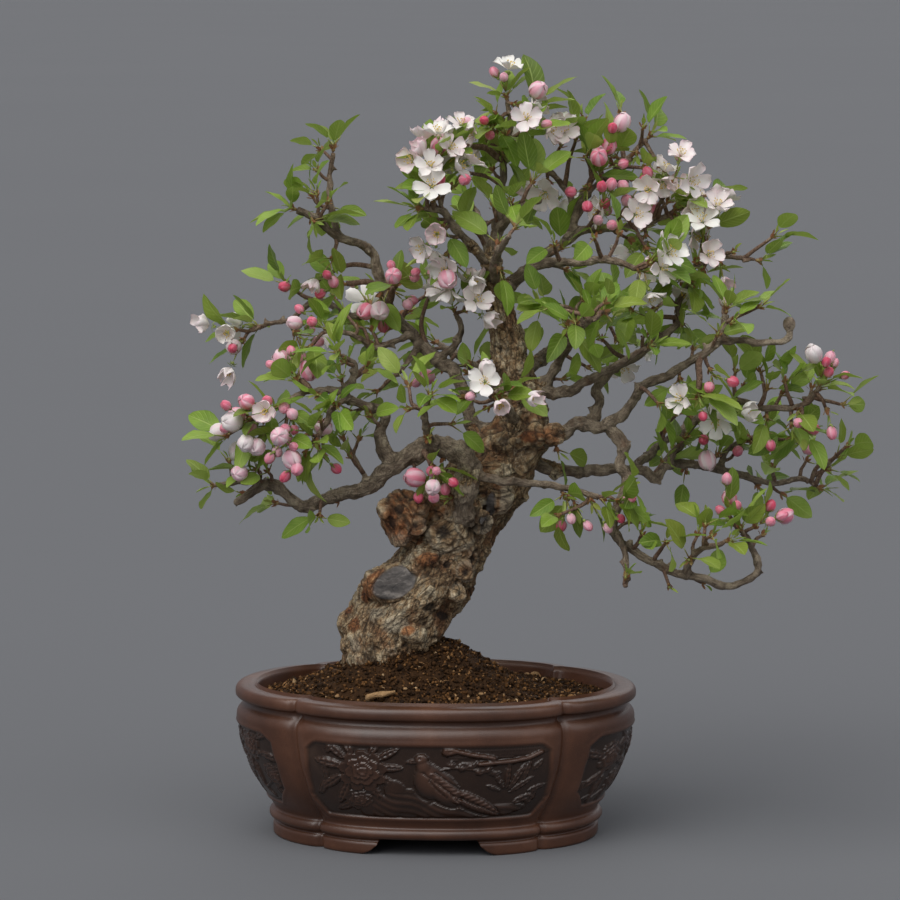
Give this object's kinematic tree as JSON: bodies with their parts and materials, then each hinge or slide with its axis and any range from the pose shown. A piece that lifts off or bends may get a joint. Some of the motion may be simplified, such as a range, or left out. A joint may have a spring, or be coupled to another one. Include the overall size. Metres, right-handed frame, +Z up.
{
  "type": "crabapple bonsai",
  "caption": "Old flowering crabapple bonsai with a leaning burled trunk, leafy twigs and pink and white blossom, in a quatrefoil clay pot with relief panels",
  "frame": {"origin": "on the ground under the middle of the whole object's box; the pot stands to the left of it because the crown reaches further right", "axes": "+Z up, -Y the front of the pot with its relief panel, +X to the right seen from the front"},
  "size_m": [0.6752, 0.3766, 0.7774],
  "materials": {
    "clay": "satin unglazed",
    "earth": "rough granular",
    "bark": "rough bark",
    "leaf": "satin",
    "bud": "satin",
    "petal": "matte"
  },
  "bodies": {
    "root": {"pot": "clay", "soil": "earth", "trunk_and_branches": "bark", "leaf_spray_01": "leaf", "leaf_spray_02": "leaf", "leaf_spray_03": "leaf", "leaf_spray_04": "leaf", "leaf_spray_05": "leaf", "leaf_spray_06": "leaf", "leaf_spray_07": "leaf", "leaf_spray_08": "leaf", "leaf_spray_09": "leaf", "leaf_spray_10": "leaf", "leaf_spray_11": "leaf", "leaf_spray_12": "leaf", "leaf_spray_13": "leaf", "leaf_spray_14": "leaf", "leaf_spray_15": "leaf", "leaf_spray_16": "leaf", "leaf_spray_17": "leaf", "leaf_spray_18": "leaf", "leaf_spray_19": "leaf", "leaf_spray_20": "leaf", "leaf_spray_21": "leaf", "leaf_spray_22": "leaf", "leaf_spray_23": "leaf", "leaf_spray_24": "leaf", "leaf_spray_25": "leaf", "leaf_spray_26": "leaf", "leaf_spray_27": "leaf", "leaf_spray_28": "leaf", "leaf_spray_29": "leaf", "leaf_spray_30": "leaf", "leaf_spray_31": "leaf", "leaf_spray_32": "leaf", "leaf_spray_33": "leaf", "leaf_spray_34": "leaf", "leaf_spray_35": "leaf", "leaf_spray_36": "leaf", "leaf_spray_37": "leaf", "blossom_umbel_02": "bud", "blossom_umbel_03": "bud", "blossom_umbel_08": "petal", "blossom_umbel_09": "bud", "blossom_umbel_12": "petal", "blossom_umbel_13": "bud", "blossom_umbel_14": "bud", "blossom_umbel_15": "petal", "blossom_umbel_16": "bud", "blossom_umbel_18": "bud", "blossom_umbel_19": "bud", "blossom_umbel_23": "petal", "blossom_umbel_24": "bud", "blossom_umbel_28": "petal", "blossom_umbel_29": "petal", "blossom_umbel_30": "bud", "blossom_umbel_31": "petal", "blossom_umbel_32": "petal", "blossom_umbel_33": "petal"}
  },
  "joints": []
}
